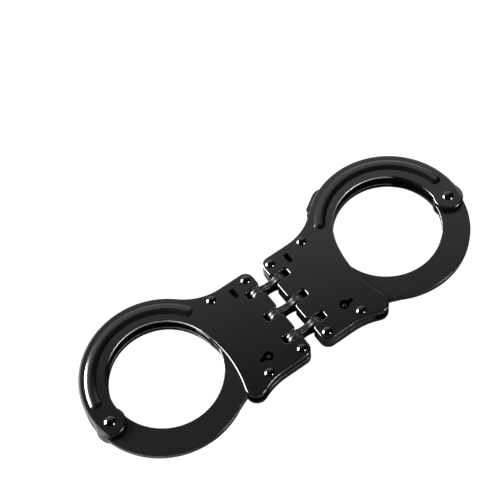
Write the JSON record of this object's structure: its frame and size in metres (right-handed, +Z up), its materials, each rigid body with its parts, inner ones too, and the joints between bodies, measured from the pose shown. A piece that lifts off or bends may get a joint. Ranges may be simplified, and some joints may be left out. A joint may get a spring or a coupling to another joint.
{
  "type": "hinged handcuffs",
  "caption": "Hinged double-lock handcuffs: two hinge-linked steel cuffs, each with a toothed arm that swings round the wrist and is held by a sprung pawl.",
  "frame": {"origin": "centre of the pair's outline in X and Y, on the plane that the lower rivet heads stand on", "axes": "+X from the left cuff to the right cuff, +Y towards the fixed arms, +Z up, from the lower cheeks to the upper ones"},
  "size_m": [0.2364, 0.0878, 0.0129],
  "materials": {
    "black_cheek": "satin black",
    "black_frame": "satin black",
    "black_strand": "satin black",
    "black_rivet": "gloss black",
    "black_link": "satin black",
    "bright_pin": "ground",
    "lock_steel": "dark, machined",
    "spring_steel": "blued",
    "key_post": "dark, turned"
  },
  "bodies": {
    "left_cuff": {"left_top_cheek": "black_cheek", "left_bottom_cheek": "black_cheek", "left_upper_half_frame": "black_frame", "left_lower_half_frame": "black_frame", "left_pivot_rivet": "black_rivet", "left_case_rivets": "black_rivet", "left_hinge_pin": "bright_pin", "left_pawl_spring": "spring_steel", "left_detent_spring": "spring_steel", "left_key_post": "key_post"},
    "left_strand": {"left_strand": "black_strand"},
    "left_pawl": {"left_pawl": "lock_steel"},
    "left_double_lock_bar": {"left_double_lock_bar": "lock_steel"},
    "right_cuff": {"right_top_cheek": "black_cheek", "right_bottom_cheek": "black_cheek", "right_upper_half_frame": "black_frame", "right_lower_half_frame": "black_frame", "right_pivot_rivet": "black_rivet", "right_case_rivets": "black_rivet", "right_hinge_pin": "bright_pin", "right_pawl_spring": "spring_steel", "right_detent_spring": "spring_steel", "right_key_post": "key_post"},
    "right_strand": {"right_strand": "black_strand"},
    "right_pawl": {"right_pawl": "lock_steel"},
    "right_double_lock_bar": {"right_double_lock_bar": "lock_steel"},
    "hinge_links": {"hinge_link_1_upper_plate": "black_link", "hinge_link_1_lower_plate": "black_link", "hinge_link_2_upper_plate": "black_link", "hinge_link_2_lower_plate": "black_link", "hinge_link_3_upper_plate": "black_link", "hinge_link_3_lower_plate": "black_link"}
  },
  "joints": [
    {"name": "left_hinge", "type": "hinge", "parent": "left_cuff", "child": "hinge_links", "pos_m": [-0.0067, -0.00653, 0.00645], "axis": [0, 1, 0], "range_deg": [-90, 90]},
    {"name": "right_hinge", "type": "hinge", "parent": "hinge_links", "child": "right_cuff", "pos_m": [0.0067, -0.00653, 0.00645], "axis": [0, 1, 0], "range_deg": [-90, 90]},
    {"name": "left_strand_swing", "type": "hinge", "parent": "left_cuff", "child": "left_strand", "pos_m": [-0.11, -0.00593, 0.00645], "axis": [0, 0, 1], "continuous": true},
    {"name": "left_pawl_lift", "type": "hinge", "parent": "left_cuff", "child": "left_pawl", "pos_m": [-0.0296, 0.01977, 0.00645], "axis": [0, 0, 1], "range_deg": [0, 4], "stiffness_Nm_per_rad": 0.05, "springref_deg": -5.73, "deforming": ["left_pawl_spring"]},
    {"name": "left_double_lock_slide", "type": "slide", "parent": "left_cuff", "child": "left_double_lock_bar", "axis": [0, 1, 0], "range_m": [-0.0034, 0], "deforming": ["left_detent_spring"]},
    {"name": "right_strand_swing", "type": "hinge", "parent": "right_cuff", "child": "right_strand", "pos_m": [0.11, -0.00593, 0.00645], "axis": [0, 0, 1], "continuous": true},
    {"name": "right_pawl_lift", "type": "hinge", "parent": "right_cuff", "child": "right_pawl", "pos_m": [0.0296, 0.01977, 0.00645], "axis": [0, 0, -1], "range_deg": [0, 4], "stiffness_Nm_per_rad": 0.05, "springref_deg": -5.73, "deforming": ["right_pawl_spring"]},
    {"name": "right_double_lock_slide", "type": "slide", "parent": "right_cuff", "child": "right_double_lock_bar", "axis": [0, 1, 0], "range_m": [-0.0034, 0], "deforming": ["right_detent_spring"]}
  ]
}
